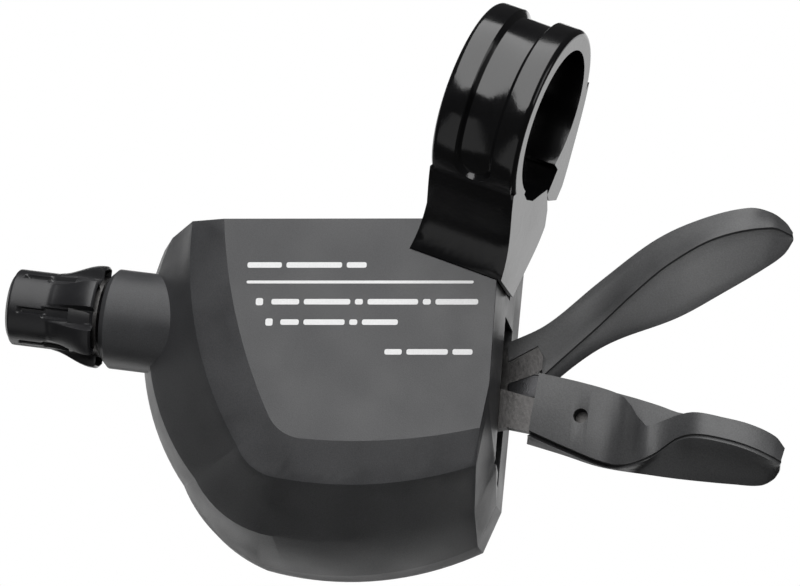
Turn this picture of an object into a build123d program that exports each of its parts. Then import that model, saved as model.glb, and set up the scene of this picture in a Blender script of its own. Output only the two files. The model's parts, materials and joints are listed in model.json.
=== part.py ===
from build123d import *
from math import cos, radians, sin
import os

# Left-hand trigger shifter. Millimetres. The origin is the centre of the handlebar bore,
# +X runs along the bar towards the levers, -Y is the way the flat cover panel faces, +Z is up.

# ---- driving dimensions -----------------------------------------------------------------
BAR_R = 11.1              # 22.2 mm handlebar
BAND_R = 13.1             # bottom of the groove round the band
RIB_R = 14.1              # crest of the two ribs
BAND_HALF = 6.75          # half the band's width along the bar
GROOVE_HALF = 2.75        # half the width of the groove between the ribs
BOLT_Y = 15.9             # clamp bolt, behind the bar
BOLT_SEAT_Z = -3.4        # under the bolt's head
BOLT_END_Z = -17.0
BOLT_R = 2.5
BOLT_HEAD_R = 3.7
BOLT_HEAD_HEIGHT = 3.6
HEX_SOCKET_R = 2.3
HEX_SOCKET_DEPTH = 2.4
FLARE = 1.3               # the arm's left edge spreads by this much at the panel

TILT = 20                 # the body's top edge rises by this angle towards +X
WALL = 1.8                # moulded wall
PANEL_Y = 7.5             # flat panel
PARTING_Y = 26.5          # parting plane of the two covers
BACK_Y = 32.8             # outer face of the rear cover

PIVOT = (-20.0, -40.5)    # main pivot, in the body's own directions (along, up)
SLEEVE_R = 4.0            # sleeve on the pivot stud
RUNNING = 0.05            # radial running clearance
STUD_R = 3.0
SPOOL_R = 9.6
CABLE_R = 8.24            # from the pivot to the cable's centre line
CABLE_Y = 21.5
CREST_R = 10.6            # ratchet tooth crest
ROOT_R = 9.5              # ratchet tooth root
TOOTH_PITCH = 20          # degrees
PAWL_TEETH_GAP = 0.15

RELEASE_ARM_Y = (17.8, 19.6)
SPOOL_Y = (19.9, 22.4)
RATCHET_Y = (22.4, 23.7)
WIND_ARM_Y = (24.2, 26.0)
PLATE_Y = (27.9, 29.4)
WIND_PADDLE_Y = (23.2, 32.0)
RELEASE_PADDLE_Y = (15.5, 22.4)

CABLE_DROP = 7            # the cable line falls by this angle along the body, towards the levers
BOSS_END = (-63.8, -26.8) # centre of the boss's end face
BOSS_R = 7.5
THREAD_R = 3.9
KNOB_TIP = 15.0           # from the boss's end to the knob's outer end
KNOB_START = 1.0
KNOB_BIG_R = 7.75
KNOB_SMALL_R = 5.65
HOUSING_SEAT_R = 2.6      # cable housing with its end cap
HOUSING_SEAT_DEPTH = 9.0
CABLE_HOLE_R = 0.9

ALONG = (cos(radians(TILT)), 0, sin(radians(TILT)))
UP = (-sin(radians(TILT)), 0, cos(radians(TILT)))


# ---- places -----------------------------------------------------------------------------
def body_point(along, up, y):
    """A point given along and up the tilted body, at a depth y."""
    return (along * ALONG[0] + up * UP[0], y, along * ALONG[2] + up * UP[2])


def body_plane(y, centre=(0, 0)):
    """A plane across the body at depth y; extruding from it goes to the front."""
    return Plane(origin=body_point(*centre, y), x_dir=ALONG, z_dir=(0, -1, 0))


def pivot_plane(y):
    return body_plane(y, PIVOT)


def pin_plane(pin, y):
    """A plane across a pin that stands at a place given from the pivot."""
    return body_plane(y, (PIVOT[0] + pin[0], PIVOT[1] + pin[1]))


def polar(radius, angle):
    return (radius * cos(radians(angle)), radius * sin(radians(angle)))


def adjuster_plane(reach):
    """A plane across the adjuster's axis, reach outward from the boss's end face."""
    slope = radians(TILT - CABLE_DROP)
    outward = Vector(-cos(slope), 0, -sin(slope))
    end = Vector(*body_point(*BOSS_END, CABLE_Y))
    return Plane(origin=end + outward * reach, x_dir=(0, 1, 0), z_dir=outward)


def tapered_link(start, start_r, end, end_r):
    """The flat outline that wraps two circles, as on a stamped lever arm."""
    with BuildSketch(Plane.XY, mode=Mode.PRIVATE) as link:
        with Locations(start):
            Circle(start_r)
        with Locations(end):
            Circle(end_r)
        make_hull()
    return link.sketch


def plate(outlines, y_span, holes=()):
    """A flat plate about the pivot: the outlines joined, then holes as (place, radius)."""
    with BuildPart() as made:
        with BuildSketch(pivot_plane(y_span[1])):
            for outline in outlines:
                add(outline)
            for place, radius in holes:
                with Locations(place):
                    Circle(radius, mode=Mode.SUBTRACT)
        extrude(amount=y_span[1] - y_span[0])
    return made.part


def round_bar(plane, steps):
    """A turned piece: (radius, length) steps one after another along the plane's normal."""
    reach = 0
    with BuildPart() as bar:
        for radius, length in steps:
            with BuildSketch(plane.offset(reach)):
                Circle(radius)
            extrude(amount=length)
            reach += length
    return bar.part


def coil(plane, radius, wire_r, turns, height, leg=0.0):
    """A coil spring about the plane's normal, with a straight leg at each end."""
    with BuildPart() as spring:
        with BuildLine():
            path = Helix(pitch=height / turns, height=height, radius=radius)
        with BuildSketch(Plane(origin=path @ 0, z_dir=path % 0)):
            Circle(wire_r)
        sweep(path=path, is_frenet=True)
        if leg:
            with BuildSketch(Plane(origin=path @ 0, z_dir=(path % 0) * -1)):
                Circle(wire_r)
            extrude(amount=leg)
            with BuildSketch(Plane(origin=path @ 1, z_dir=path % 1)):
                Circle(wire_r)
            extrude(amount=leg)
    return plane.location * spring.part


def save(part, name):
    part.label = name
    export_step(part, f"parts/{name}.step")


os.makedirs("parts", exist_ok=True)

# ---- handlebar clamp --------------------------------------------------------------------
FLUSH_Z = -23.7           # the arm's front face reaches the panel here
FLARE_Z = -17.5           # the arm's left edge starts to spread here
FOOT_X = (-6.0, 3.0)
FOOT_Z = (-29.5, -22.0)
FOOT_Y = (9.8, PLATE_Y[0])
SCREW_X = (-4.2, 0.6)
SCREW_Z = -26.2
BRACKET_SCREW_R = 1.3
BRACKET_SCREW_LENGTH = 9.0

GROOVE_SPAN = (42.0, 237.4)  # degrees round the bore from +Y, over the top to the front
RIB_ROUND = 0.9           # rounding of the band's outer edges
GROOVE_SLOPE = 0.45       # the groove's sides spread by this much

side = Plane(origin=(-BAND_HALF, 0, 0), x_dir=(0, 1, 0), z_dir=(1, 0, 0))


def spoke_plane(angle):
    """A plane through the bore's axis: its x runs along the bar, its y outward at an angle."""
    return Plane(origin=(0, 0, 0), x_dir=(1, 0, 0), z_dir=(0, *polar(1, angle + 90)))


def groove_section(turn):
    """Half of the groove's section, drawn towards -X or +X."""
    with BuildSketch(Plane.XY, mode=Mode.PRIVATE) as half:
        Polygon((0, BAND_R), (turn * (GROOVE_HALF - GROOVE_SLOPE), BAND_R),
                (turn * (GROOVE_HALF + GROOVE_SLOPE), RIB_R + 0.3), (0, RIB_R + 0.3), align=None)
    return half.sketch


with BuildPart() as clamp_bracket:
    # band with a round-ended groove, which leaves two rounded ribs
    with BuildSketch(Plane.XY) as band_section:
        with Locations((0, (BAR_R - 1 + RIB_R) / 2)):
            Rectangle(2 * BAND_HALF, RIB_R - BAR_R + 1)
        fillet(band_section.vertices().group_by(Axis.Y)[-1], radius=RIB_ROUND)
    revolve(axis=Axis.X)
    with BuildSketch(spoke_plane(GROOVE_SPAN[0])):
        add(groove_section(-1))
        add(groove_section(1))
    revolve(axis=Axis.X, revolution_arc=GROOVE_SPAN[1] - GROOVE_SPAN[0], mode=Mode.SUBTRACT)
    with BuildSketch(spoke_plane(GROOVE_SPAN[1])):
        add(groove_section(1))
    revolve(axis=Axis((0, 0, 0), (0, *polar(1, GROOVE_SPAN[1]))), mode=Mode.SUBTRACT)
    # upper ear, which the band thickens into behind the bar
    with BuildSketch(side):
        with BuildLine():
            Spline((10.5, 9.4), (14.0, 4.6), (16.6, 0.0), (19.1, -5.1),
                   tangents=[(0.667, -0.745), (0.35, -0.94)])
            Polyline((19.1, -5.1), (19.0, -7.4), (15.1, -8.6), (13.0, -8.2), (9.8, -4.0), (10.5, 9.4))
        make_face()
    extrude(amount=2 * BAND_HALF)
    # lower ear and arm, whose left edge flares towards the panel
    with BuildSketch(side.offset(-FLARE)):
        with BuildLine():
            Polyline((-4.6, -13.3), (0, -10.0), (9.4, -6.0), (11.8, -7.7), (16.4, -9.7), (18.8, -11.7))
            Spline((18.8, -11.7), (19.0, -14.8), (17.9, -20.1), (17.4, FLUSH_Z))
            Line((17.4, FLUSH_Z), (7.2, FLUSH_Z))
            Spline((7.2, FLUSH_Z), (5.3, -20.6), (1.1, -17.2), (-4.6, -13.3))
        make_face()
    extrude(amount=2 * BAND_HALF + FLARE)
    with BuildSketch(Plane.XZ.offset(RIB_R + 1)):
        Polygon((-BAND_HALF - FLARE - 1, 0), (-BAND_HALF, 0), (-BAND_HALF, FLARE_Z),
                (-BAND_HALF - FLARE, FLUSH_Z), (-BAND_HALF - FLARE - 1, FLUSH_Z), align=None)
    extrude(amount=-50, mode=Mode.SUBTRACT)
    # foot inside the covers
    with BuildSketch(Plane.XZ.offset(-FOOT_Y[1])):
        with Locations(((FOOT_X[0] + FOOT_X[1]) / 2, (FOOT_Z[0] + FOOT_Z[1]) / 2)):
            Rectangle(FOOT_X[1] - FOOT_X[0], FOOT_Z[1] - FOOT_Z[0])
    extrude(amount=FOOT_Y[1] - FOOT_Y[0])
    # bore for the bar
    with BuildSketch(side):
        Circle(BAR_R)
    extrude(amount=2 * BAND_HALF, mode=Mode.SUBTRACT)
    # space between the jaws, inside the ears
    with BuildSketch(side):
        Polygon((9.0, -4.0), (12.9, -4.1), (13.0, -8.0), (11.8, -7.7), (9.6, -9.0), (6.5, -11.0),
                (3.0, -11.8), (0.5, -11.6), (0.5, -8.0), align=None)
    extrude(amount=2 * BAND_HALF, mode=Mode.SUBTRACT)
    # seat, clearance hole and thread of the clamp bolt
    with BuildSketch(Plane.XY.offset(BOLT_SEAT_Z)):
        with Locations((0, BOLT_Y)):
            Circle(BOLT_HEAD_R + 0.3)
    extrude(amount=20, mode=Mode.SUBTRACT)
    with BuildSketch(Plane.XY.offset(BOLT_END_Z - 0.5)):
        with Locations((0, BOLT_Y)):
            Circle(BOLT_R + RUNNING)
    extrude(amount=BOLT_SEAT_Z - BOLT_END_Z + 1, mode=Mode.SUBTRACT)
    # threads for the two bracket screws
    with BuildSketch(Plane.XZ.offset(-FOOT_Y[1])):
        with Locations(*[(x, SCREW_Z) for x in SCREW_X]):
            Circle(BRACKET_SCREW_R)
    extrude(amount=BRACKET_SCREW_LENGTH - 1, mode=Mode.SUBTRACT)
save(clamp_bracket.part, "clamp_bracket")

with BuildPart() as clamp_bolt:
    with BuildSketch(Plane.XY.offset(BOLT_END_Z)):
        with Locations((0, BOLT_Y)):
            Circle(BOLT_R)
    extrude(amount=BOLT_SEAT_Z - BOLT_END_Z)
    with BuildSketch(Plane.XY.offset(BOLT_SEAT_Z)):
        with Locations((0, BOLT_Y)):
            Circle(BOLT_HEAD_R)
    extrude(amount=BOLT_HEAD_HEIGHT)
    with BuildSketch(Plane.XY.offset(BOLT_SEAT_Z + BOLT_HEAD_HEIGHT)):
        with Locations((0, BOLT_Y)):
            RegularPolygon(HEX_SOCKET_R, 6)
    extrude(amount=-HEX_SOCKET_DEPTH, mode=Mode.SUBTRACT)
save(clamp_bolt.part, "clamp_bolt")

# ---- covers -----------------------------------------------------------------------------
# Four levels of the faceted body, front to back. Each is a closed outline: flat top edge,
# curved left side, left corner, curved bottom, right corner and straight right side.
TOP = -15.0
STEEP_Y = 9.0             # the shallow facet round the panel ends here
RIM_Y = 19.0              # the long side facet ends here, and the rim begins
LEVELS = {
    PANEL_Y: dict(left=[(-44.0, TOP), (-41.0, -31.5), (-35.7, -45.1)], corner=(-33.8, -47.3),
                  bottom=[(-31.0, -48.4), (-19.0, -48.7), (-4.0, -46.7)],
                  right=[(-2.9, -40.0), (-2.3, TOP)]),
    STEEP_Y: dict(left=[(-49.1, TOP), (-47.6, -32.5), (-40.6, -49.2)], corner=(-38.0, -52.6),
                  bottom=[(-34.5, -54.0), (-21.0, -55.0), (-4.6, -52.0)],
                  right=[(-3.1, -43.0), (-2.3, TOP)]),
    RIM_Y: dict(left=[(-54.3, TOP), (-56.9, -33.5), (-48.9, -52.0)], corner=(-44.6, -57.2),
                bottom=[(-38.5, -60.3), (-24.0, -61.5), (-6.4, -56.8)],
                right=[(-3.4, -50.5), (-2.5, TOP)]),
    PARTING_Y: dict(left=[(-57.1, TOP), (-59.2, -34.2), (-52.2, -51.4)], corner=(-47.5, -58.2),
                    bottom=[(-39.7, -63.3), (-25.0, -64.9), (-7.1, -60.4)],
                    right=[(-4.6, -54.2), (-2.7, TOP)]),
}


def outline(level, inset=0.0):
    """The face of one level's outline, drawn in along its edge by inset."""
    with BuildSketch(Plane.XY, mode=Mode.PRIVATE) as face:
        with BuildLine():
            ThreePointArc(*level["left"])
            ThreePointArc(level["left"][-1], level["corner"], level["bottom"][0])
            ThreePointArc(*level["bottom"])
            Polyline(level["bottom"][-1], *level["right"], level["left"][0])
        make_face()
        if inset:
            offset(amount=-inset, kind=Kind.INTERSECTION)
    return face.sketch


def lofted(depths):
    """A faceted solid through outlines given as (depth, level, inset)."""
    with BuildPart() as solid:
        for drawn_at, level, inset in depths:
            with BuildSketch(body_plane(drawn_at)):
                add(outline(LEVELS[level], inset))
        loft(ruled=True)
    return solid.part


def rear_block(inset, front_y, back_y):
    with BuildPart() as block:
        with BuildSketch(body_plane(back_y)):
            add(outline(LEVELS[PARTING_Y], inset))
        extrude(amount=back_y - front_y)
    return block.part


# each cover screw: its place along and up the body, and where its post meets the front wall
COVER_SCREWS = [((-50.0, -21.0), 16.0), ((-42.0, -50.0), 15.8), ((-9.5, -53.5), 16.4)]
POST_R = 2.4
COVER_SCREW_R = 0.95
COVER_SCREW_HEAD_R = 1.9
COVER_SCREW_HOLE_R = 1.25
RELEASE_SLOT_Y = 17.5     # front edges of the openings that the levers come out of
WIND_SLOT_Y = 23.8
SLOT_TOP = -27.5
NOTCH_GAP = 0.1
NOTCH_RIGHT = 12.9
NOTCH_DEPTH = 20.6

BACK_BEVEL = 1.6
outer = lofted([(y, y, 0) for y in LEVELS])
inner = lofted([(PANEL_Y + WALL, PANEL_Y, WALL), (STEEP_Y + WALL, STEEP_Y, WALL),
                (RIM_Y + 0.5, RIM_Y, WALL), (PARTING_Y, PARTING_Y, WALL)])
BOSS_REACH = 12.0         # the boss runs back into the body by this much
BOSS_BEVEL = 0.9
with BuildPart() as front_cover:
    add(outer)
    with BuildSketch(adjuster_plane(0)):
        Circle(BOSS_R)
    extrude(amount=-BOSS_REACH)
    boss_edge = front_cover.edges().filter_by(GeomType.CIRCLE).sort_by(
        lambda edge: (edge.center() - adjuster_plane(0).origin).length)[0]
    chamfer(boss_edge, length=BOSS_BEVEL)
    add(inner, mode=Mode.SUBTRACT)
    # the boss's back half sits in front of the rear cover's rim
    add(rear_block(0, PARTING_Y, BACK_Y), mode=Mode.SUBTRACT)
    for place, start_y in COVER_SCREWS:
        with BuildSketch(body_plane(PARTING_Y, place)):
            Circle(POST_R)
        extrude(amount=PARTING_Y - start_y)
        with BuildSketch(body_plane(PARTING_Y, place)):
            Circle(COVER_SCREW_R)
        extrude(amount=7, mode=Mode.SUBTRACT)
    # threaded hole for the adjuster
    with BuildSketch(adjuster_plane(0)):
        Circle(THREAD_R + RUNNING)
    extrude(amount=-BOSS_REACH, mode=Mode.SUBTRACT)
    # openings for the release lever and, deeper in, for the winding lever
    for slot_y, lower_end in ((RELEASE_SLOT_Y, -49.8), (WIND_SLOT_Y, -51.5)):
        with BuildSketch(body_plane(PARTING_Y, (-2.5, (lower_end + SLOT_TOP) / 2))):
            Rectangle(9, SLOT_TOP - lower_end)
        extrude(amount=PARTING_Y - slot_y, mode=Mode.SUBTRACT)
    # notch that the clamp's arm sits in
    with BuildSketch(Plane.XZ):
        Polygon((-BAND_HALF - NOTCH_GAP, 0), (-BAND_HALF - NOTCH_GAP, FLARE_Z),
                (-BAND_HALF - FLARE - NOTCH_GAP, FLUSH_Z - NOTCH_GAP), (NOTCH_RIGHT, FLUSH_Z - NOTCH_GAP),
                (NOTCH_RIGHT, 0), align=None)
    extrude(amount=-NOTCH_DEPTH, mode=Mode.SUBTRACT)
save(front_cover.part, "front_cover")

with BuildPart() as rear_cover:
    add(rear_block(0, PARTING_Y, BACK_Y - BACK_BEVEL))
    add(lofted([(BACK_Y - BACK_BEVEL, PARTING_Y, 0), (BACK_Y, PARTING_Y, BACK_BEVEL)]))
    add(rear_block(WALL, PARTING_Y, BACK_Y - BACK_BEVEL), mode=Mode.SUBTRACT)
    for place, _ in COVER_SCREWS:
        with BuildSketch(body_plane(BACK_Y, place)):
            Circle(POST_R)
        extrude(amount=BACK_Y - PARTING_Y)
    for place, _ in COVER_SCREWS:
        with BuildSketch(body_plane(BACK_Y, place)):
            Circle(COVER_SCREW_HOLE_R)
        extrude(amount=BACK_Y - PARTING_Y, mode=Mode.SUBTRACT)
        with BuildSketch(body_plane(BACK_Y, place)):
            Circle(COVER_SCREW_HEAD_R + 0.15)
        extrude(amount=1.8, mode=Mode.SUBTRACT)
save(rear_cover.part, "rear_cover")

cover_screws = Compound(children=[
    round_bar(body_plane(BACK_Y - 0.2, place), [(COVER_SCREW_HEAD_R, 1.6), (COVER_SCREW_R, 9.5)])
    for place, _ in COVER_SCREWS])
save(cover_screws, "cover_screws")

# ---- base plate and main shaft ----------------------------------------------------------
HOLD_PIN_R = 14.5
HOLD_PIN_ANGLE = 285
HOLD_PIN = polar(HOLD_PIN_R, HOLD_PIN_ANGLE)
PIN_R = 1.2               # pins of the two pawls
PIN_HEAD_R = 1.9
STUD_END_R = 2.5          # threaded end of the stud
HUB_R = 8.5               # plate round the stud
LUG_R = 2.9               # plate round a screw


def to_pivot(x, z):
    """Row X and Z turned into places along and up the body, from the pivot."""
    return (x * ALONG[0] + z * ALONG[2] - PIVOT[0], x * UP[0] + z * UP[2] - PIVOT[1])


screw_places = [to_pivot(x, SCREW_Z) for x in SCREW_X]
base_plate = plate(
    [*[tapered_link((0, 0), HUB_R, place, LUG_R) for place in screw_places],
     tapered_link(screw_places[0], LUG_R, screw_places[1], LUG_R),
     tapered_link((0, 0), HUB_R, HOLD_PIN, LUG_R)],
    PLATE_Y,
    [((0, 0), STUD_R), (HOLD_PIN, PIN_R), *[(place, 1.6) for place in screw_places]])
save(base_plate, "base_plate")

bracket_screws = Compound(children=[
    round_bar(Plane(origin=(x, PLATE_Y[1] + 1.3, SCREW_Z), z_dir=(0, -1, 0)),
              [(2 * BRACKET_SCREW_R, 1.3), (BRACKET_SCREW_R, BRACKET_SCREW_LENGTH)])
    for x in SCREW_X])
save(bracket_screws, "bracket_screws")

NUT_Y = (10.0, 12.6)
SLEEVE_Y = (13.4, PLATE_Y[0])
pivot_stud = round_bar(pivot_plane(PLATE_Y[1] + 0.9),
                       [(4.6, 0.9), (STUD_R, PLATE_Y[1] - SLEEVE_Y[0]),
                        (STUD_END_R, SLEEVE_Y[0] - NUT_Y[0])])
save(pivot_stud, "pivot_stud")

with BuildPart() as pivot_sleeve:
    with BuildSketch(pivot_plane(SLEEVE_Y[1])):
        Circle(SLEEVE_R)
        Circle(STUD_R, mode=Mode.SUBTRACT)
    extrude(amount=SLEEVE_Y[1] - SLEEVE_Y[0])
save(pivot_sleeve.part, "pivot_sleeve")

pivot_washer = plate([Pos(0, 0) * Circle(6.2)], (NUT_Y[1], SLEEVE_Y[0]), [((0, 0), STUD_END_R)])
save(pivot_washer, "pivot_washer")

with BuildPart() as pivot_nut:
    with BuildSketch(pivot_plane(NUT_Y[1])):
        RegularPolygon(4.6, 6)
        Circle(STUD_END_R, mode=Mode.SUBTRACT)
    extrude(amount=NUT_Y[1] - NUT_Y[0])
save(pivot_nut.part, "pivot_nut")

thrust_washers = Compound(children=[
    plate([Pos(0, 0) * Circle(6.0)], (y, y + 0.2), [((0, 0), SLEEVE_R)])
    for y in (RELEASE_ARM_Y[1] + 0.05, RATCHET_Y[1] + 0.15)])
save(thrust_washers, "thrust_washers")

# ---- cable spool and ratchet ------------------------------------------------------------
RIVET_R = 0.7
RIVET_PLACES = [polar(6.6, angle) for angle in (10, 130, 250)]

CABLE_GROOVE_HALF = 0.8
with BuildPart() as cable_spool:
    with BuildSketch(pivot_plane(SPOOL_Y[1])):
        Circle(SPOOL_R)
        Circle(SLEEVE_R + RUNNING, mode=Mode.SUBTRACT)
        with Locations(*RIVET_PLACES):
            Circle(RIVET_R, mode=Mode.SUBTRACT)
    extrude(amount=SPOOL_Y[1] - SPOOL_Y[0])
    # groove for the cable
    with BuildSketch(pivot_plane(CABLE_Y + CABLE_GROOVE_HALF)):
        Circle(SPOOL_R + 1)
        Circle(CABLE_R - CABLE_GROOVE_HALF, mode=Mode.SUBTRACT)
    extrude(amount=2 * CABLE_GROOVE_HALF, mode=Mode.SUBTRACT)
save(cable_spool.part, "cable_spool")


def ratchet_outline():
    """Saw teeth: each rises slowly and drops straight, so that pawls hold it one way."""
    points = []
    for tooth in range(360 // TOOTH_PITCH):
        start = tooth * TOOTH_PITCH - 5
        points += [polar(ROOT_R, start), polar(CREST_R, start + TOOTH_PITCH)]
    with BuildSketch(Plane.XY, mode=Mode.PRIVATE) as teeth:
        with BuildLine():
            Polyline(*points, close=True)
        make_face()
    return teeth.sketch


index_ratchet = plate([ratchet_outline()], RATCHET_Y,
                      [((0, 0), SLEEVE_R + RUNNING), *[(p, RIVET_R) for p in RIVET_PLACES]])
save(index_ratchet, "index_ratchet")

ratchet_rivets = Compound(children=[
    plate([Pos(*place) * Circle(RIVET_R)], (SPOOL_Y[0] + 0.1, RATCHET_Y[1])) for place in RIVET_PLACES])
save(ratchet_rivets, "ratchet_rivets")

# ---- winding lever ----------------------------------------------------------------------
DRIVE_PIN = polar(13.8, 150)
WIND_HUB_R = 6.5
WIND_ELBOW = (17.0, 6.9)
WIND_TIP = (29.0, 14.5)
wind_arm = plate(
    [tapered_link((0, 0), WIND_HUB_R, WIND_ELBOW, 3.0), tapered_link(WIND_ELBOW, 3.0, WIND_TIP, 2.4),
     tapered_link((0, 0), WIND_HUB_R, DRIVE_PIN, 2.4)],
    WIND_ARM_Y, [((0, 0), SLEEVE_R + RUNNING), (DRIVE_PIN, PIN_R)])
save(wind_arm, "wind_arm")


def paddle(top, bottom, root, y_span, bevel):
    """A thumb paddle: curved outline, thick, with a broad bevel along its front upper edge."""
    with BuildPart() as made:
        with BuildSketch(body_plane(y_span[1])):
            with BuildLine():
                Spline(*top)
                Spline(*bottom)
                Polyline(bottom[-1], *root, top[0])
            make_face()
        extrude(amount=y_span[1] - y_span[0])
        front = made.faces().sort_by(Axis.Y)[0]
        upper = front.edges().sort_by(lambda edge: edge.length)[-2:]
        upper = [max(upper, key=lambda edge: (edge @ 0.5).Z)]
        chamfer(upper, length=bevel)
    return made.part


wind_paddle_solid = paddle(
    top=[(-1.4, -29.5), (4.3, -24.8), (11.3, -18.3), (19.0, -12.6), (28.0, -9.4), (34.5, -8.9),
         (38.5, -12.8)],
    bottom=[(38.5, -12.8), (36.3, -17.0), (28.5, -21.9), (22.0, -25.8), (15.9, -28.0),
            (10.5, -31.0), (5.3, -35.1)],
    root=[(2.6, -33.8), (-1.0, -31.0)], y_span=WIND_PADDLE_Y, bevel=2.4)
with BuildPart() as wind_paddle:
    add(wind_paddle_solid)
    add(wind_arm, mode=Mode.SUBTRACT)
save(wind_paddle.part, "wind_paddle")

DRIVE_PIN_END_Y = 20.2
with BuildPart() as drive_pawl_pin:
    with BuildSketch(pivot_plane(WIND_ARM_Y[1])):
        with Locations(DRIVE_PIN):
            Circle(PIN_R)
    extrude(amount=WIND_ARM_Y[1] - DRIVE_PIN_END_Y)
    with BuildSketch(pivot_plane(DRIVE_PIN_END_Y)):
        with Locations(DRIVE_PIN):
            Circle(PIN_HEAD_R)
    extrude(amount=0.5)
save(drive_pawl_pin.part, "drive_pawl_pin")


def pawl(pin, tip_angle, tip_r, y_span):
    """A pawl from its pin to a tip that reaches the ratchet's teeth."""
    tip = polar(tip_r, tip_angle)
    behind = polar(tip_r + 1.6, tip_angle + 4)
    return plate([tapered_link(pin, 2.3, behind, 1.2), tapered_link(behind, 1.2, tip, 0.35)],
                 y_span, [(pin, PIN_R + RUNNING)])


PAWL_Y = (22.5, 23.8)
drive_pawl = pawl(DRIVE_PIN, 117.7, 10.5, PAWL_Y)
save(drive_pawl, "drive_pawl")

drive_pawl_spring = coil(pin_plane(DRIVE_PIN, 22.1), 1.75, 0.2, 2.0, 1.0, leg=2.0)
save(drive_pawl_spring, "drive_pawl_spring")

wind_spring = coil(pivot_plane(27.5), 5.2, 0.28, 1.75, 1.2, leg=3.0)
save(wind_spring, "wind_spring")

# ---- release lever ----------------------------------------------------------------------
CAM_START = 255
CAM_R = 11.5
CAM_GROWTH = 0.05         # mm per degree
CAM_SPAN = 40
FOLLOWER_R = 0.8
RELEASE_ELBOW = (18.0, -1.0)
RELEASE_TIP = (31.0, -4.0)
FOLLOWER = polar(CAM_R + CAM_GROWTH * (270 - CAM_START) + FOLLOWER_R + 0.12, 270)

with BuildSketch(Plane.XY, mode=Mode.PRIVATE) as cam_sector:
    with BuildLine():
        cam_points = [polar(CAM_R + CAM_GROWTH * turn, CAM_START + turn)
                      for turn in range(0, CAM_SPAN + 1, 10)]
        Spline(*cam_points)
        Polyline(cam_points[-1], (0, 0), cam_points[0])
    make_face()

release_arm = plate(
    [tapered_link((0, 0), 6.8, RELEASE_ELBOW, 2.7), tapered_link(RELEASE_ELBOW, 2.7, RELEASE_TIP, 2.2),
     cam_sector.sketch],
    RELEASE_ARM_Y, [((0, 0), SLEEVE_R + RUNNING)])
save(release_arm, "release_arm")

release_paddle_solid = paddle(
    top=[(2.9, -36.3), (9.0, -37.3), (16.0, -39.1), (24.3, -41.5), (31.0, -42.4), (38.4, -45.0),
         (39.8, -47.4)],
    bottom=[(39.8, -47.4), (37.7, -52.0), (32.0, -52.5), (24.9, -51.7), (13.0, -49.9),
            (7.0, -48.1), (1.7, -46.5)],
    root=[(1.8, -44.2)], y_span=RELEASE_PADDLE_Y, bevel=1.6)
with BuildPart() as release_paddle:
    add(release_paddle_solid)
    add(release_arm, mode=Mode.SUBTRACT)
    with BuildSketch(body_plane(RELEASE_PADDLE_Y[0], (9.4, -42.8))):
        Circle(1.1)
    extrude(amount=-2.0, mode=Mode.SUBTRACT)
save(release_paddle.part, "release_paddle")

release_spring = coil(pivot_plane(17.2), 5.2, 0.4, 2.5, 2.8, leg=3.0)
save(release_spring, "release_spring")

# ---- holding pawl -----------------------------------------------------------------------
with BuildPart() as hold_pawl:
    add(pawl(HOLD_PIN, 252, CREST_R + PAWL_TEETH_GAP + 0.4, PAWL_Y))
    with BuildSketch(pivot_plane(PAWL_Y[1])):
        add(tapered_link(HOLD_PIN, 2.3, FOLLOWER, 1.0))
        with Locations(HOLD_PIN):
            Circle(PIN_R + RUNNING, mode=Mode.SUBTRACT)
    extrude(amount=PAWL_Y[1] - PAWL_Y[0])
    with BuildSketch(pivot_plane(PAWL_Y[1])):
        with Locations(FOLLOWER):
            Circle(FOLLOWER_R)
    extrude(amount=PAWL_Y[1] - RELEASE_ARM_Y[0])
save(hold_pawl.part, "hold_pawl")

HOLD_PIN_END_Y = 22.0
with BuildPart() as hold_pawl_pin:
    with BuildSketch(pivot_plane(PLATE_Y[1])):
        with Locations(HOLD_PIN):
            Circle(PIN_R)
    extrude(amount=PLATE_Y[1] - HOLD_PIN_END_Y)
    with BuildSketch(pivot_plane(HOLD_PIN_END_Y)):
        with Locations(HOLD_PIN):
            Circle(PIN_HEAD_R)
    extrude(amount=0.6)
save(hold_pawl_pin.part, "hold_pawl_pin")

hold_pawl_spring = coil(pin_plane(HOLD_PIN, 26.6), 1.75, 0.2, 2.5, 1.8, leg=2.0)
save(hold_pawl_spring, "hold_pawl_spring")

# ---- barrel adjuster --------------------------------------------------------------------
RING_START = 0.6
RING_END = 1.8
BARREL_START = -8.0       # the barrel's inner end, inside the boss
BARREL_END = KNOB_TIP - 0.4
with BuildPart() as adjuster_barrel:
    with BuildSketch(adjuster_plane(BARREL_START)):
        Circle(THREAD_R)
    extrude(amount=BARREL_END - BARREL_START)
    with BuildSketch(adjuster_plane(BARREL_END)):
        Circle(HOUSING_SEAT_R)
    extrude(amount=-HOUSING_SEAT_DEPTH, mode=Mode.SUBTRACT)
    with BuildSketch(adjuster_plane(BARREL_START)):
        Circle(CABLE_HOLE_R)
    extrude(amount=BARREL_END - BARREL_START, mode=Mode.SUBTRACT)
save(adjuster_barrel.part, "adjuster_barrel")

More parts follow.
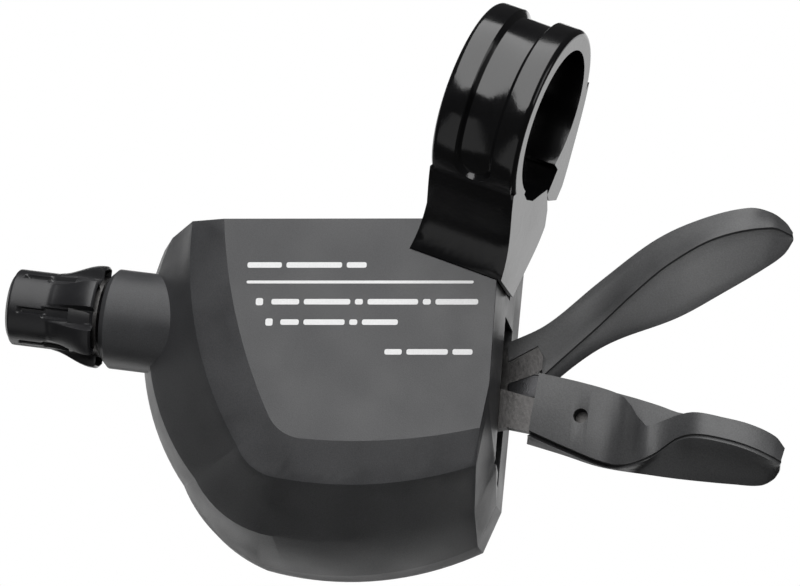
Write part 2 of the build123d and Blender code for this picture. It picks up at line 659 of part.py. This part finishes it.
RIDGES = 6
RIDGE_END = 8.0           # the grip ridges end here, and the smooth nose begins
KNOB_RECESS_R = 6.2
adjuster_axis = Axis(adjuster_plane(0).origin, adjuster_plane(0).z_dir)
knob_section_plane = Plane(origin=adjuster_axis.position, x_dir=adjuster_axis.direction, z_dir=(0, 1, 0))
with BuildPart() as adjuster_knob:
    with BuildSketch(knob_section_plane):
        with BuildLine():
            Polyline((KNOB_START, 0), (KNOB_START, KNOB_BIG_R - 0.5), (2.6, KNOB_BIG_R - 0.3),
                     (RIDGE_END, KNOB_SMALL_R + 0.5), (9.5, KNOB_SMALL_R), (KNOB_TIP - 0.8, KNOB_SMALL_R),
                     (KNOB_TIP, KNOB_SMALL_R - 0.8), (KNOB_TIP, 0), close=True)
        make_face()
    revolve(axis=adjuster_axis)
    with BuildSketch(adjuster_plane(KNOB_START)):
        with PolarLocations(KNOB_BIG_R - 1.4, RIDGES):
            Rectangle(2.8, 4.4)
    extrude(amount=RIDGE_END - KNOB_START)
    with BuildSketch(adjuster_plane(KNOB_START)):
        Circle(THREAD_R)
    extrude(amount=KNOB_TIP, mode=Mode.SUBTRACT)
    # recess for the click ring and the spring
    with BuildSketch(adjuster_plane(KNOB_START)):
        Circle(KNOB_RECESS_R)
    extrude(amount=4.0, mode=Mode.SUBTRACT)
save(adjuster_knob.part, "adjuster_knob")

with BuildPart() as adjuster_ring:
    with BuildSketch(adjuster_plane(RING_START)):
        Circle(KNOB_RECESS_R - 0.2)
        Circle(THREAD_R + 0.15, mode=Mode.SUBTRACT)
    extrude(amount=RING_END - RING_START)
save(adjuster_ring.part, "adjuster_ring")

adjuster_spring = coil(adjuster_plane(RING_END + 0.35), 4.9, 0.3, 3, 2.4)
save(adjuster_spring, "adjuster_spring")
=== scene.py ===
import json
from math import cos, pi, radians, sin

import bmesh
import bpy
from mathutils import Matrix, Vector


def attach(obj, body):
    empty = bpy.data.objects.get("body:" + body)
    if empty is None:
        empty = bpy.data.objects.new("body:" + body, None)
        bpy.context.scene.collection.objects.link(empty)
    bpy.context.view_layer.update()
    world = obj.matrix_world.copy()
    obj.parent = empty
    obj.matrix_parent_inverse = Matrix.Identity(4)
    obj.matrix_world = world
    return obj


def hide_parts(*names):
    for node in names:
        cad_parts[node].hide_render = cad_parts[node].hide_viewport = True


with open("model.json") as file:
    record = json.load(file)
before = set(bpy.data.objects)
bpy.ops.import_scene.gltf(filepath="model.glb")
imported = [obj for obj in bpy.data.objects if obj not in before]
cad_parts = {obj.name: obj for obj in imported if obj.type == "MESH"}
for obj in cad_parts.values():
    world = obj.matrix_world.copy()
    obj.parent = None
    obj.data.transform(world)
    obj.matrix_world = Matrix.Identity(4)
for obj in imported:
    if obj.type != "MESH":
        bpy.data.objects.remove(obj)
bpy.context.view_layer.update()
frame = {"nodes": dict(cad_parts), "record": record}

MM = 0.001
TILT = radians(20)        # the body's own directions are turned by this from the bar
PANEL_Y = 7.5             # flat panel of the front cover, mm

# ---- camera: below and in front of the shifter, rolled so that the bar runs up to the right ----
VIEW_AZIMUTH = 15.3
VIEW_ELEVATION = -9.1
VIEW_ROLL = 22.6
VIEW_DISTANCE = 1307 * MM
VIEW_TARGET = Vector((-5.78, 3.59, -31.2)) * MM
LENS = 400
SENSOR = 36

# ---- room: a white backdrop for the camera, a dim one for everything else, and a round floor ----
BACKDROP_STRENGTH = 1.0
ROOM_STRENGTH = 0.05
FLOOR_RADIUS = 3000 * MM
FLOOR_Z = -450 * MM
FLOOR_GLOW = 0.5


def view_axes():
    """The picture's right and up, and the way back to the camera, in the row frame."""
    azimuth, elevation, roll = radians(VIEW_AZIMUTH), radians(VIEW_ELEVATION), radians(VIEW_ROLL)
    back = Vector((sin(azimuth) * cos(elevation), -cos(azimuth) * cos(elevation), sin(elevation)))
    level = Vector((cos(azimuth), sin(azimuth), 0))
    rise = back.cross(level)
    right = level * cos(roll) + rise * sin(roll)
    return right, back.cross(right), back


def add_camera():
    right, up, back = view_axes()
    data = bpy.data.cameras.new("camera")
    data.lens = LENS
    data.sensor_width = SENSOR
    data.clip_start = 10 * MM
    camera = bpy.data.objects.new("camera", data)
    bpy.context.scene.collection.objects.link(camera)
    turn = Matrix((right, up, back)).transposed()
    camera.matrix_world = Matrix.Translation(VIEW_TARGET + back * VIEW_DISTANCE) @ turn.to_4x4()
    bpy.context.scene.camera = camera


def add_light(name, towards, distance, size, power, length_along=(0, 0, 1)):
    """A soft box. towards is its direction in the row frame, and its length runs near length_along."""
    direction = Vector(towards).normalized()
    lengthwise = Vector(length_along) - direction * direction.dot(Vector(length_along))
    lengthwise.normalize()
    data = bpy.data.lights.new(name, "AREA")
    data.shape = "RECTANGLE"
    data.size, data.size_y = size
    data.energy = power
    light = bpy.data.objects.new(name, data)
    light.visible_camera = False
    bpy.context.scene.collection.objects.link(light)
    turn = Matrix((lengthwise.cross(direction), lengthwise, direction)).transposed()
    light.matrix_world = Matrix.Translation(VIEW_TARGET + direction * distance) @ turn.to_4x4()


def add_world():
    world = bpy.data.worlds.new("studio")
    bpy.context.scene.world = world
    world.use_nodes = True
    nodes, links = world.node_tree.nodes, world.node_tree.links
    nodes.clear()
    out = nodes.new("ShaderNodeOutputWorld")
    mix = nodes.new("ShaderNodeMixShader")
    path = nodes.new("ShaderNodeLightPath")
    seen = nodes.new("ShaderNodeBackground")
    seen.inputs["Strength"].default_value = BACKDROP_STRENGTH
    seen.inputs["Color"].default_value = (1, 1, 1, 1)
    room = nodes.new("ShaderNodeBackground")
    room.inputs["Color"].default_value = (1, 1, 1, 1)
    room.inputs["Strength"].default_value = ROOM_STRENGTH
    links.new(path.outputs["Is Camera Ray"], mix.inputs["Fac"])
    links.new(room.outputs[0], mix.inputs[1])
    links.new(seen.outputs[0], mix.inputs[2])
    links.new(mix.outputs[0], out.inputs["Surface"])


def add_floor():
    """A pale floor that lights nothing: it glows a little, so that it stays pale in every view."""
    bpy.ops.mesh.primitive_circle_add(vertices=128, radius=FLOOR_RADIUS, fill_type="NGON",
                                      location=(0, 0, FLOOR_Z))
    floor = bpy.context.object
    floor.name = "floor"
    floor.visible_glossy = False
    floor.visible_diffuse = False
    pale = surface("floor", (0.75, 0.75, 0.74), 0.8, mottle=0.02, grain_mm=2, grain_depth=0.02, speckle=0.02)
    shader = pale.node_tree.nodes["Principled BSDF"]
    shader.inputs["Emission Color"].default_value = (1, 1, 1, 1)
    shader.inputs["Emission Strength"].default_value = FLOOR_GLOW
    floor.data.materials.append(pale)


# ---- materials --------------------------------------------------------------------------
MOTTLE_MM = 9             # size of the slow mottling
NOISE_LOW = 0.3           # nearly all of a noise lies between these
NOISE_HIGH = 0.7
COAT_ROUGHNESS = 0.06


def remapped(nodes, links, noise, low, high):
    """A node that spreads a noise over the range from low to high."""
    spread = nodes.new("ShaderNodeMapRange")
    spread.inputs["From Min"].default_value = NOISE_LOW
    spread.inputs["From Max"].default_value = NOISE_HIGH
    spread.inputs["To Min"].default_value = low
    spread.inputs["To Max"].default_value = high
    links.new(noise.outputs["Fac"], spread.inputs["Value"])
    return spread


def surface(name, color, roughness, metallic=0.0, mottle=0.12, grain_mm=0.2, grain_depth=0.02,
            speckle=0.25, rough_spread=0.08, coat=0.0, stretch=(1, 1, 1)):
    """A worked surface: slow mottling, fine speckle and grain, and roughness that varies.

    grain_mm is the size of one grain and grain_depth how deep it reads, both in mm.
    stretch draws the grain out along an axis, as on brushed or drawn metal."""
    material = bpy.data.materials.new(name)
    material.use_nodes = True
    nodes, links = material.node_tree.nodes, material.node_tree.links
    shader = nodes["Principled BSDF"]
    shader.inputs["Metallic"].default_value = metallic
    shader.inputs["Coat Weight"].default_value = coat
    shader.inputs["Coat Roughness"].default_value = COAT_ROUGHNESS

    place = nodes.new("ShaderNodeTexCoord")
    mapping = nodes.new("ShaderNodeMapping")
    mapping.inputs["Scale"].default_value = stretch
    links.new(place.outputs["Object"], mapping.inputs["Vector"])

    slow = nodes.new("ShaderNodeTexNoise")
    slow.inputs["Scale"].default_value = 1 / (MOTTLE_MM * MM)
    slow.inputs["Detail"].default_value = 4
    links.new(place.outputs["Object"], slow.inputs["Vector"])

    grain = nodes.new("ShaderNodeTexNoise")
    grain.inputs["Scale"].default_value = 1 / (grain_mm * MM)
    grain.inputs["Detail"].default_value = 3
    grain.inputs["Roughness"].default_value = 0.6
    links.new(mapping.outputs["Vector"], grain.inputs["Vector"])

    tone = remapped(nodes, links, slow, 1 - mottle, 1 + mottle)
    fleck = remapped(nodes, links, grain, 1 - speckle, 1 + speckle)
    both = nodes.new("ShaderNodeMath")
    both.operation = "MULTIPLY"
    links.new(tone.outputs["Result"], both.inputs[0])
    links.new(fleck.outputs["Result"], both.inputs[1])
    tint = nodes.new("ShaderNodeVectorMath")
    tint.operation = "SCALE"
    tint.inputs[0].default_value = color
    links.new(both.outputs["Value"], tint.inputs["Scale"])
    links.new(tint.outputs["Vector"], shader.inputs["Base Color"])

    polish = remapped(nodes, links, slow, max(roughness - rough_spread, 0.02), roughness + rough_spread)
    links.new(polish.outputs["Result"], shader.inputs["Roughness"])

    bump = nodes.new("ShaderNodeBump")
    bump.inputs["Distance"].default_value = grain_depth * MM
    bump.inputs["Strength"].default_value = 1.0
    links.new(grain.outputs["Fac"], bump.inputs["Height"])
    links.new(bump.outputs["Normal"], shader.inputs["Normal"])
    return material


MATERIALS = {
    "black_aluminium": surface("black_aluminium", (0.005, 0.005, 0.0055), 0.15, mottle=0.15, grain_mm=0.9,
                               grain_depth=0.012, speckle=0.15, rough_spread=0.05),
    "cover_plastic": surface("cover_plastic", (0.045, 0.0455, 0.048), 0.44, grain_mm=0.16, grain_depth=0.012),
    "lever_plastic": surface("lever_plastic", (0.046, 0.0465, 0.048), 0.44, grain_mm=0.22, grain_depth=0.02),
    "knob_plastic": surface("knob_plastic", (0.014, 0.014, 0.0155), 0.36, grain_mm=0.3, grain_depth=0.006,
                            speckle=0.12),
    "barrel_aluminium": surface("barrel_aluminium", (0.02, 0.02, 0.022), 0.3, metallic=0.6),
    "bright_steel": surface("bright_steel", (0.065, 0.063, 0.062), 0.42, metallic=1.0, mottle=0.3,
                            speckle=0.2, grain_mm=0.5, grain_depth=0.03),
    "black_steel": surface("black_steel", (0.03, 0.03, 0.032), 0.35, metallic=0.7, speckle=0.3),
    "spring_steel": surface("spring_steel", (0.4, 0.39, 0.37), 0.3, metallic=1.0, stretch=(1, 1, 0.3)),
    "brass_sleeve": surface("brass_sleeve", (0.6, 0.42, 0.18), 0.3, metallic=1.0, stretch=(1, 0.2, 1)),
    "spool_plastic": surface("spool_plastic", (0.55, 0.54, 0.5), 0.4, speckle=0.05),
}
PRINT_INK = surface("print_ink", (0.82, 0.82, 0.82), 0.5, speckle=0.05, mottle=0.03, grain_depth=0.004)

for part in frame["record"]["subparts"]:
    node = frame["nodes"][part["node"]]
    node.data.materials.clear()
    node.data.materials.append(MATERIALS[part["material_slot"]])


# ---- building blocks --------------------------------------------------------------------
STATIONS = 64             # sections of a lever's paddle, from the root to the tip
SWEPT_EDGE = 0.3          # mm, the rounding of the paddles' edges


def body_point(along, up, y):
    """A point along and up the tilted body at a depth y, all in mm, in the row frame in metres."""
    x = along * cos(TILT) - up * sin(TILT)
    z = along * sin(TILT) + up * cos(TILT)
    return Vector((x, y, z)) * MM


def ramp(value, low, high):
    """0 below low, 1 above high, and a smooth rise between."""
    t = min(max((value - low) / (high - low), 0), 1)
    return t * t * (3 - 2 * t)


def eased(rows, x):
    """Values at x on smooth curves through rows of (x, value, value, ...), x rising."""
    if x <= rows[0][0]:
        return rows[0][1:]
    if x >= rows[-1][0]:
        return rows[-1][1:]
    k = next(i for i in range(len(rows) - 1) if rows[i + 1][0] >= x)
    before, here, there, after = rows[max(k - 1, 0)], rows[k], rows[k + 1], rows[min(k + 2, len(rows) - 1)]
    width = there[0] - here[0]
    t = (x - here[0]) / width
    found = []
    for i in range(1, len(here)):
        slope_here = (there[i] - before[i]) / (there[0] - before[0]) * width
        slope_there = (after[i] - here[i]) / (after[0] - here[0]) * width
        found.append((2 * t ** 3 - 3 * t ** 2 + 1) * here[i] + (t ** 3 - 2 * t ** 2 + t) * slope_here
                     + (3 * t ** 2 - 2 * t ** 3) * there[i] + (t ** 3 - t ** 2) * slope_there)
    return found


def rail_point(rail, share):
    """A point at a share of the rail's reach; rails are rows of (along, up, y)."""
    along = rail[0][0] + (rail[-1][0] - rail[0][0]) * share
    up, y = eased(rail, along)
    return body_point(along, up, y)


def skin(rails, crowns):
    """A closed mesh through rails that run from the root to the tip, given round the section.

    crowns[i] bulges the strip between rail i and the next one outward by that many mm."""
    mesh = bmesh.new()
    rings = []
    for k in range(STATIONS + 1):
        share = (1 - cos(pi * k / STATIONS)) / 2
        corners = [rail_point(rail, share) for rail in rails]
        ring = []
        centre = sum(corners, Vector()) / len(corners)
        for i, corner in enumerate(corners):
            ring.append(corner)
            following = corners[(i + 1) % len(corners)]
            if i in crowns:
                away = ((corner + following) / 2 - centre).normalized()
                for t in (0.25, 0.5, 0.75):
                    bulge = crowns[i] * MM * 4 * t * (1 - t)
                    ring.append(corner.lerp(following, t) + away * bulge)
        rings.append([mesh.verts.new(point) for point in ring])
    for ring, following in zip(rings, rings[1:]):
        count = len(ring)
        for i in range(count):
            j = (i + 1) % count
            mesh.faces.new((ring[i], ring[j], following[j], following[i]))
    mesh.faces.new(reversed(rings[0]))
    mesh.faces.new(rings[-1])
    bmesh.ops.recalc_face_normals(mesh, faces=mesh.faces)
    return mesh


def make_object(name, mesh):
    data = bpy.data.meshes.new(name)
    mesh.to_mesh(data)
    mesh.free()
    made = bpy.data.objects.new(name, data)
    bpy.context.scene.collection.objects.link(made)
    return made


def settle(made, sharp=35):
    """Applies the modifiers and shades smooth except at sharp edges."""
    bpy.context.view_layer.update()
    graph = bpy.context.evaluated_depsgraph_get()
    data = bpy.data.meshes.new_from_object(made.evaluated_get(graph))
    made.modifiers.clear()
    made.data = data
    data.shade_smooth()
    data.set_sharp_from_angle(angle=radians(sharp))


def round_edges(made, width, angle=32, segments=3):
    bevel = made.modifiers.new("round_edges", "BEVEL")
    bevel.width = width * MM
    bevel.segments = segments
    bevel.limit_method = "ANGLE"
    bevel.angle_limit = radians(angle)
    bevel.harden_normals = False


def cut(made, cutter):
    """Subtracts the cutter and removes it."""
    boolean = made.modifiers.new("cut", "BOOLEAN")
    boolean.object = cutter
    boolean.operation = "DIFFERENCE"
    boolean.solver = "EXACT"
    settle(made)
    bpy.data.objects.remove(cutter)


def add_block(mesh, outline, y_span):
    """Adds a straight block to a mesh, over an outline given along and up the body."""
    near = [mesh.verts.new(body_point(a, b, y_span[0])) for a, b in outline]
    far = [mesh.verts.new(body_point(a, b, y_span[1])) for a, b in outline]
    mesh.faces.new(near)
    mesh.faces.new(reversed(far))
    for i in range(len(outline)):
        j = (i + 1) % len(outline)
        mesh.faces.new((near[j], near[i], far[i], far[j]))


def prism(name, outline, y_span):
    """A piece that is one straight block."""
    mesh = bmesh.new()
    add_block(mesh, outline, y_span)
    bmesh.ops.recalc_face_normals(mesh, faces=mesh.faces)
    return make_object(name, mesh)


def circle_points(centre, radius, count=32):
    return [(centre[0] + radius * cos(2 * pi * k / count), centre[1] + radius * sin(2 * pi * k / count))
            for k in range(count)]


def dress(made, slot, body, *nodes):
    """Gives a piece its material slot and body, and lets it stand for CAD nodes."""
    made.data.materials.clear()
    made.data.materials.append(MATERIALS[slot])
    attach(made, body)
    if nodes:
        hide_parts(*nodes)


# ---- winding lever's paddle -------------------------------------------------------------
BLADE_START = 18          # along the body, mm: the blade keeps its own depth from here
BLADE_END = 27            # and bends back to the tip from here
BLADE_TIP = 38.5
BLADE_BACK_Y = 30.7
TIP_BACK_Y = 29.6
LEDGE_DROP = 0.2          # the step under the strip
LEDGE_DEPTH = 0.4
# depths of each edge at the root, along the blade and at the tip
TOP_DEPTHS = (23.8, 24.5, 26.6)
CREST_DEPTHS = (23.8, 22.8, 26.0)
BOTTOM_DEPTHS = (25.0, 24.1, 26.5)
ARM_BACK_Y = 26.05        # the recess in the paddle's root takes the steel arm, down to this depth


def blade_edge(outline, depths):
    """An edge of the blade, with its depth eased from the root to the blade and on to the tip."""
    root_y, blade_y, tip_y = depths
    edge = []
    for a, b in outline:
        y = root_y + (blade_y - root_y) * ramp(a, BLADE_START / 3, BLADE_START)
        edge.append((a, b, y + (tip_y - blade_y) * ramp(a, BLADE_END, BLADE_TIP) ** 3))
    return edge


def make_wind_paddle():
    """A spoon: a grained strip along the top, and a smooth thumb face that slants back below it."""
    top_line = [(-3.5, -30), (2.5, -27), (10, -20.5), (18, -14), (25, -10.7), (32, -9), (35.3, -9.5),
                (37.4, -10.9), (38.4, -12.3)]
    crest_line = [(-2.5, -39.5), (3, -34), (10, -27.5), (15.5, -22.3), (20.5, -18), (27.5, -14), (35.5, -12),
                  (38.5, -12.9)]
    bottom_line = [(-1, -40.7), (5, -34.5), (11.5, -30), (22, -26), (29, -22), (34.5, -18.3),
                   (37.3, -15.7), (38.5, -13.6)]
    top = blade_edge(top_line, TOP_DEPTHS)
    crest = blade_edge(crest_line, CREST_DEPTHS)
    bottom = blade_edge(bottom_line, BOTTOM_DEPTHS)
    ledge = [(a, b - LEDGE_DROP, y + LEDGE_DEPTH) for a, b, y in crest]
    lower_back = [(a - 1.2, b + 2, BLADE_BACK_Y) for a, b, y in bottom[:-1]] + [(37.3, -14.2, TIP_BACK_Y)]
    upper_back = [(a - 0.6, b, BLADE_BACK_Y) for a, b, y in top[:-1]] + [(37.3, -12.4, TIP_BACK_Y)]
    rails = [top, crest, ledge, bottom, lower_back, upper_back]
    paddle = make_object("wind_paddle_pad", skin(rails, crowns={0: -0.15, 2: 0.15, 4: -0.8, 5: 0.15}))
    recess = [(-9, -35.4), (-3.5, -32.9), (1.1, -30.4), (2.0, -31.9), (1.5, -42), (-9, -42)]
    cut(paddle, prism("recess_cutter", recess, (20, ARM_BACK_Y)))
    # the root is cut back so that it clears the slot's lower end at full swing
    swing = [(1.2, -34.2), (-9, -44.4), (-9, -50), (11.2, -50), (11.2, -44.2)]
    cut(paddle, prism("swing_cutter", swing, (18, 35)))
    round_edges(paddle, SWEPT_EDGE, angle=16)
    settle(paddle, sharp=22)
    dress(paddle, "lever_plastic", "wind_lever", "wind_paddle")


# ---- release lever's paddle -------------------------------------------------------------
PLATE_Y = 15.5            # the flat front of the plate
PLATE_END = 15            # along the body, where the plate starts to bend
UNDER_Y = 21.6
RIM_Y = 22.4
RIM_WIDTH = 1.4
HOLE_PLACE = (9.5, -43.0)
HOLE_R = 1.1
TAB_Y = (20.4, 22.2)


def make_release_paddle():
    """A folded plate with a hole near the root, a hollow behind the bend, and a thick tip."""
    top = [(3.0, -36.5, PLATE_Y), (9.7, -38.0, PLATE_Y), (15.2, -39.7, 15.6), (16.6, -40.9, 16.1),
           (17.8, -43.1, 19.2), (18.9, -43.4, 20.0), (23.6, -41.9, 19.2), (26.3, -41.8, 18.0),
           (30.5, -42.6, 18.0), (34.5, -43.6, 18.2), (38.2, -45.3, 18.8), (39.5, -46.9, 19.4)]
    fold = [(1.8, -45.2, PLATE_Y), (7.5, -47.7, PLATE_Y), (13.2, -49.9, 15.6), (16.1, -49.8, 17.7),
            (19.7, -47.8, 19.8), (23.5, -45.6, 18.4), (26.8, -45.4, 16.6), (31.7, -46.3, 16.4),
            (35.2, -47.4, 16.6), (38.0, -48.6, 17.3), (39.2, -49.2, 17.9)]
    # the groove under the plate is deep, and only a line under the tip
    groove = [(a, b - 0.15, y + (1.7 if a < PLATE_END else 0.4)) for a, b, y in fold]
    lip = [(a - 0.3, b - 0.6, y + (0.8 if a < PLATE_END else 0.1)) for a, b, y in fold]
    bottom = [(0.5, -45.9, UNDER_Y), (5.8, -47.5, UNDER_Y), (11.8, -49.4, UNDER_Y), (19.5, -50.6, UNDER_Y),
              (24.1, -51.2, UNDER_Y), (31.7, -51.9, UNDER_Y), (35.8, -52.1, 21.4), (37.8, -51.2, 21.0),
              (38.6, -50.2, 20.6)]
    lower_back = [(a, b + 0.6, min(y + 0.8, RIM_Y)) for a, b, y in bottom]
    rim_back = [(2.0, -36.2, RIM_Y), (9.0, -37.2, RIM_Y), (15.2, -38.7, RIM_Y), (20.2, -40.2, RIM_Y),
                (23.3, -41.3, RIM_Y), (26.0, -41.6, RIM_Y), (30.0, -42.3, RIM_Y), (34.0, -43.2, 22.2),
                (37.6, -45.0, 21.8), (38.7, -46.9, 21.4)]
    rim_front = [(a, b + 0.1, y - RIM_WIDTH) for a, b, y in rim_back]
    pocket = [(2.2, -36.5, 20.9), (9.1, -37.6, 20.9), (15.4, -39.4, 20.8), (17.2, -42.0, 20.6),
              (19.2, -44.6, 20.4), (22.5, -43.6, 20.4), (25.4, -42.2, 20.5), (30.1, -42.6, 20.6),
              (34.2, -43.5, 20.6), (37.7, -45.2, 20.3), (38.9, -46.9, 20.2)]
    rails = [top, fold, groove, lip, bottom, lower_back, rim_back, rim_front, pocket]
    paddle = make_object("release_paddle_pad", skin(rails, crowns={3: -0.35, 5: -0.5}))
    cut(paddle, prism("hole_cutter", circle_points(HOLE_PLACE, HOLE_R), (14, 21)))
    round_edges(paddle, SWEPT_EDGE, angle=28)
    settle(paddle)
    dress(paddle, "lever_plastic", "release_lever", "release_paddle")


def make_release_tab():
    """A small tongue behind the paddle's root, which closes the gap beside the steel arm."""
    outline = [(-2.6, -39.2), (3.4, -39.2), (3.4, -35.9), (1.4, -35.5), (-2.6, -37.0)]
    tab = prism("release_paddle_tab", outline, TAB_Y)
    round_edges(tab, 0.25)
    settle(tab)
    dress(tab, "black_steel", "release_lever")


# ---- adjuster knob ----------------------------------------------------------------------
BOSS_END = body_point(-63.8, -26.8, 21.5)
ADJUSTER_TILT = TILT - radians(7)
ADJUSTER_OUT = Vector((-cos(ADJUSTER_TILT), 0, -sin(ADJUSTER_TILT)))
KNOB_LOBES = 6
KNOB_START = 1.0          # mm out from the boss
KNOB_END = 15.0
KNOB_BORE_R = 3.95
KNOB_RECESS_R = 6.1       # the hollow that the boss's ring goes into
KNOB_RECESS_DEPTH = 4.0
KNOB_LIP = 1.6            # the recess widens to the outside over this length
KNOB_ROWS = 96
KNOB_AROUND = 288


def knob_radius(reach, turn):
    """Outer radius in mm, reach mm out from the boss and turn in lobes, 0 at a lobe's middle."""
    base = 5.72 + 0.43 * (1 - ramp(reach, 2, 9)) - 0.9 * ramp(reach, 14.2, 15.0) ** 2
    side = abs(turn)
    # each lobe flares towards the boss and narrows in two steps on the way out
    lobe = 1 - ramp(side, 0.27, 0.33)
    flare = 1.45 * (1 - ramp(reach, 1.6, 8.2)) + 0.1
    crest = lobe * flare * (1 - ramp(reach, 7.8, 8.6))
    # slots between the lobes: wide near the boss, then narrow with a pointed end
    wide = (1 - ramp(0.5 - side, 0.10, 0.15)) * (1 - ramp(reach, 8.6, 9.4))
    narrow = (1 - ramp(0.5 - side, 0.05, 0.085)) * (1 - ramp(reach, 12.4, 13.2))
    slot = 0.55 * max(wide, narrow) * ramp(reach, 1.0, 3.0)
    return base + crest - slot


def knob_ring(mesh, reach, radius_at):
    """One ring of the knob's skin; radius_at gives the radius for a turn counted in lobes."""
    across = ADJUSTER_OUT.orthogonal().normalized()
    other = ADJUSTER_OUT.cross(across)
    made = []
    for k in range(KNOB_AROUND):
        angle = 2 * pi * k / KNOB_AROUND
        lobe_turn = (angle / (2 * pi) * KNOB_LOBES) % 1
        turn = lobe_turn - 1 if lobe_turn > 0.5 else lobe_turn
        radius = radius_at(turn)
        sideways = across * radius * cos(angle) + other * radius * sin(angle)
        made.append(mesh.verts.new(BOSS_END + (ADJUSTER_OUT * reach + sideways) * MM))
    return made


def make_knob():
    """A skin turned about the adjuster's axis: in through the recess, along the flutes and into the bore."""
    edge = 0.3
    mesh = bmesh.new()
    floor_reach = KNOB_START + KNOB_RECESS_DEPTH
    rings = [knob_ring(mesh, floor_reach, lambda turn: KNOB_BORE_R),
             knob_ring(mesh, floor_reach, lambda turn: KNOB_RECESS_R),
             knob_ring(mesh, KNOB_START + KNOB_LIP, lambda turn: KNOB_RECESS_R),
             knob_ring(mesh, KNOB_START, lambda turn: knob_radius(KNOB_START, turn) - 0.35)]
    for k in range(KNOB_ROWS + 1):
        reach = KNOB_START + edge + (KNOB_END - KNOB_START - edge) * k / KNOB_ROWS
        rings.append(knob_ring(mesh, reach, lambda turn: knob_radius(reach, turn)))
    rings += [knob_ring(mesh, KNOB_END, lambda turn: KNOB_BORE_R + edge),
              knob_ring(mesh, KNOB_END - edge, lambda turn: KNOB_BORE_R)]
    for near, far in zip(rings, rings[1:] + rings[:1]):
        for i in range(KNOB_AROUND):
            j = (i + 1) % KNOB_AROUND
            mesh.faces.new((near[i], near[j], far[j], far[i]))
    bmesh.ops.recalc_face_normals(mesh, faces=mesh.faces)
    knob = make_object("adjuster_knob_grip", mesh)
    settle(knob, sharp=50)
    dress(knob, "knob_plastic", "adjuster_knob", "adjuster_knob")


# ---- print on the panel: a plain rule, two squares and bars, with no lettering ----------
PRINT_HEIGHT = 0.02       # mm, off the panel
PRINT_ROOT = 0.05         # and into it
PRINT_CORNER = 0.3
PRINT_GAP = 0.7           # between the bars of a row
CORNER_STEPS = 4
RULE_HALF = 0.22
SQUARE_HALF = 0.55
BAR_HALF = 0.42


def print_bar(mesh, start, end, up, half):
    """A flat bar with rounded ends, printed on the panel along the body."""
    outline = []
    corner = min(half, PRINT_CORNER)
    for centre_a, centre_b, from_angle in ((end - corner, up + half - corner, 0),
                                           (start + corner, up + half - corner, 90),
                                           (start + corner, up - half + corner, 180),
                                           (end - corner, up - half + corner, 270)):
        for step in range(CORNER_STEPS + 1):
            angle = radians(from_angle + 90 / CORNER_STEPS * step)
            outline.append((centre_a + corner * cos(angle), centre_b + corner * sin(angle)))
    add_block(mesh, outline, (PANEL_Y - PRINT_HEIGHT, PANEL_Y + PRINT_ROOT))


def make_print():
    mesh = bmesh.new()
    print_bar(mesh, -40.1, -5.9, -24.7, RULE_HALF)
    for along, up in ((-38.0, -27.7), (-36.4, -30.8)):
        print_bar(mesh, along - SQUARE_HALF, along + SQUARE_HALF, up, SQUARE_HALF)
    rows = [(-40.1, -22.1, [5.2, 8.4, 3.0]), (-36.2, -27.7, [4.2, 7.0, 1.2, 7.6, 1.2, 6.4]),
            (-34.7, -30.8, [2.8, 6.2, 1.2, 5.4]), (-18.8, -35.3, [2.6, 6.2, 3.0])]
    for along, up, lengths in rows:
        for length in lengths:
            print_bar(mesh, along, along + length, up, BAR_HALF)
            along += length + PRINT_GAP
    bmesh.ops.recalc_face_normals(mesh, faces=mesh.faces)
    made = make_object("panel_print", mesh)
    made.data.materials.append(PRINT_INK)
    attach(made, "housing")


# ---- edges of the CAD pieces ------------------------------------------------------------
def soften(node, width, angle):
    """Rounds a CAD piece's edges for looks; the mesh itself isn't touched."""
    piece = frame["nodes"][node]
    weld = piece.modifiers.new("weld", "WELD")
    weld.merge_threshold = 0.002 * MM
    round_edges(piece, width, angle=angle)


make_wind_paddle()
make_release_paddle()
make_release_tab()
make_knob()
make_print()
soften("clamp_bracket", 0.35, 30)
soften("front_cover", 0.3, 12)
soften("rear_cover", 0.3, 25)

add_camera()
add_world()
# the overhead box runs from over the bar forward and down to near the camera's height
add_light("overhead", (-0.2, -0.75, 0.63), 0.63, (0.5, 1.3), 8.3, length_along=(0, -1, 0))
add_light("backdrop", (0.0, 0.97, 0.14), 0.7, (0.9, 0.5), 1.7)
add_light("left", (-0.9, 0.75, -0.3), 0.7, (0.4, 0.5), 0.7)
add_light("right", (1.0, -0.1, 0.4), 0.8, (0.4, 0.4), 0.7)
add_light("below", (0.1, -0.4, -0.9), 0.8, (0.7, 0.7), 0.7)
add_light("below_behind", (-0.1, 0.69, -0.67), 0.8, (1.0, 0.5), 2.4)
add_floor()
bpy.context.scene.view_settings.view_transform = "Standard"
